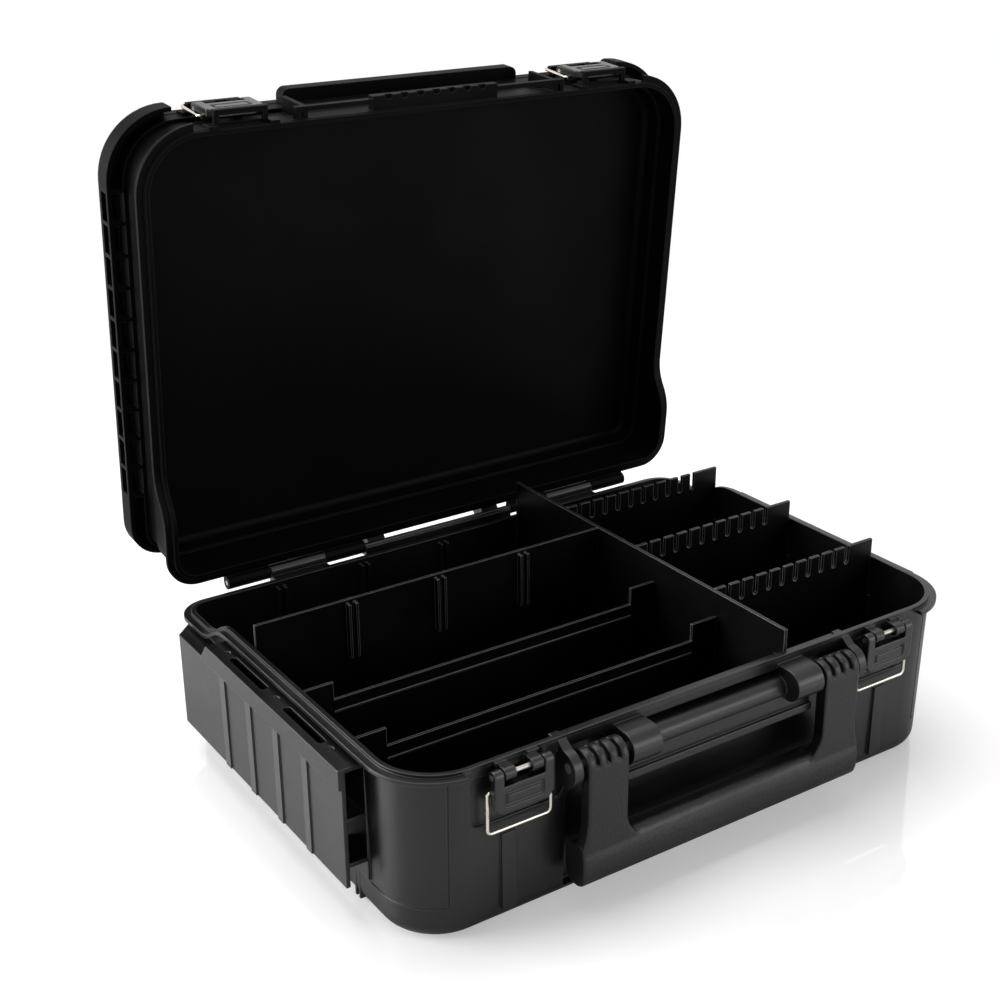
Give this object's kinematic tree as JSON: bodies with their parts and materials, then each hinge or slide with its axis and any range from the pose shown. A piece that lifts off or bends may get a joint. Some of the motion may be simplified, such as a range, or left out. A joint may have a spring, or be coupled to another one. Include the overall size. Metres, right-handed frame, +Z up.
{
  "type": "tackle box",
  "caption": "Two-deck plastic tackle case with hinged lid tray and cover, side racks, wire-bail latches, carry handle and comb dividers; rests on its flat base",
  "frame": {"origin": "centre of the tub's flat underside, on the floor plane", "axes": "+X to the right seen from the handle, +Y back towards the hinge, +Z up"},
  "size_m": [0.38, 0.3366, 0.3579],
  "materials": {
    "tub_plastic": "injection-moulded black polypropylene with a fine grain",
    "lid_plastic": "injection-moulded black polypropylene with a fine grain",
    "divider_plastic": "smooth moulded black plastic",
    "handle_plastic": "pebble-grained black moulding",
    "latch_plastic": "tough black acetal, low sheen",
    "plated_wire": "bright nickel-plated steel wire",
    "steel_pin": "drawn steel rod"
  },
  "bodies": {
    "base": {"base_tub": "tub_plastic", "center_partition": "divider_plastic", "rear_partition": "divider_plastic", "divider_plate_1": "divider_plastic", "divider_plate_2": "divider_plastic", "comb_divider_1": "divider_plastic", "comb_divider_2": "divider_plastic", "comb_divider_3": "divider_plastic", "lid_hinge_pins": "steel_pin", "base_latch_pins": "steel_pin", "handle_pins": "steel_pin"},
    "lid": {"middle_tray": "lid_plastic", "cover_hinge_pins": "steel_pin", "upper_latch_pins": "steel_pin"},
    "cover": {"top_cover": "lid_plastic"},
    "carry_handle": {"handle": "handle_plastic"},
    "base_lever_left": {"base_latch_left": "latch_plastic"},
    "base_wire_left": {"base_bail_left": "plated_wire"},
    "upper_lever_left": {"upper_latch_left": "latch_plastic"},
    "upper_wire_left": {"upper_bail_left": "plated_wire"},
    "base_lever_right": {"base_latch_right": "latch_plastic"},
    "base_wire_right": {"base_bail_right": "plated_wire"},
    "upper_lever_right": {"upper_latch_right": "latch_plastic"},
    "upper_wire_right": {"upper_bail_right": "plated_wire"}
  },
  "joints": [
    {"name": "lid_hinge", "type": "hinge", "parent": "base", "child": "lid", "pos_m": [0, 0.1355, 0.083], "axis": [-1, 0, 0], "range_deg": [-85, 0]},
    {"name": "cover_hinge", "type": "hinge", "parent": "lid", "child": "cover", "pos_m": [0, 0.17513, 0.08898], "axis": [-1, 0, 0], "range_deg": [0, 85]},
    {"name": "handle_swing", "type": "hinge", "parent": "base", "child": "carry_handle", "pos_m": [0, -0.1355, 0.08], "axis": [-1, 0, 0], "range_deg": [0, 100]},
    {"name": "base_lever_left_lift", "type": "hinge", "parent": "base", "child": "base_lever_left", "pos_m": [-0.119, -0.132, 0.0875], "axis": [-1, 0, 0], "range_deg": [0, 150]},
    {"name": "base_wire_left_swing", "type": "hinge", "parent": "base_lever_left", "child": "base_wire_left", "pos_m": [-0.119, -0.13, 0.0785], "axis": [1, 0, 0], "range_deg": [-180, 0]},
    {"name": "upper_lever_left_lift", "type": "hinge", "parent": "lid", "child": "upper_lever_left", "pos_m": [-0.119, 0.15054, 0.35284], "axis": [-1, 0, 0], "range_deg": [0, 150]},
    {"name": "upper_wire_left_swing", "type": "hinge", "parent": "upper_lever_left", "child": "upper_wire_left", "pos_m": [-0.119, 0.14175, 0.35006], "axis": [-1, 0, 0], "range_deg": [-150, 0]},
    {"name": "base_lever_right_lift", "type": "hinge", "parent": "base", "child": "base_lever_right", "pos_m": [0.119, -0.132, 0.0875], "axis": [-1, 0, 0], "range_deg": [0, 150]},
    {"name": "base_wire_right_swing", "type": "hinge", "parent": "base_lever_right", "child": "base_wire_right", "pos_m": [0.119, -0.13, 0.0785], "axis": [1, 0, 0], "range_deg": [-180, 0]},
    {"name": "upper_lever_right_lift", "type": "hinge", "parent": "lid", "child": "upper_lever_right", "pos_m": [0.119, 0.15054, 0.35284], "axis": [-1, 0, 0], "range_deg": [0, 150]},
    {"name": "upper_wire_right_swing", "type": "hinge", "parent": "upper_lever_right", "child": "upper_wire_right", "pos_m": [0.119, 0.14175, 0.35006], "axis": [-1, 0, 0], "range_deg": [-150, 0]}
  ],
  "couplings": [
    {"joint": "upper_wire_left_swing", "follows": "upper_lever_left_lift", "ratio": -1},
    {"joint": "upper_wire_right_swing", "follows": "upper_lever_right_lift", "ratio": -1}
  ]
}
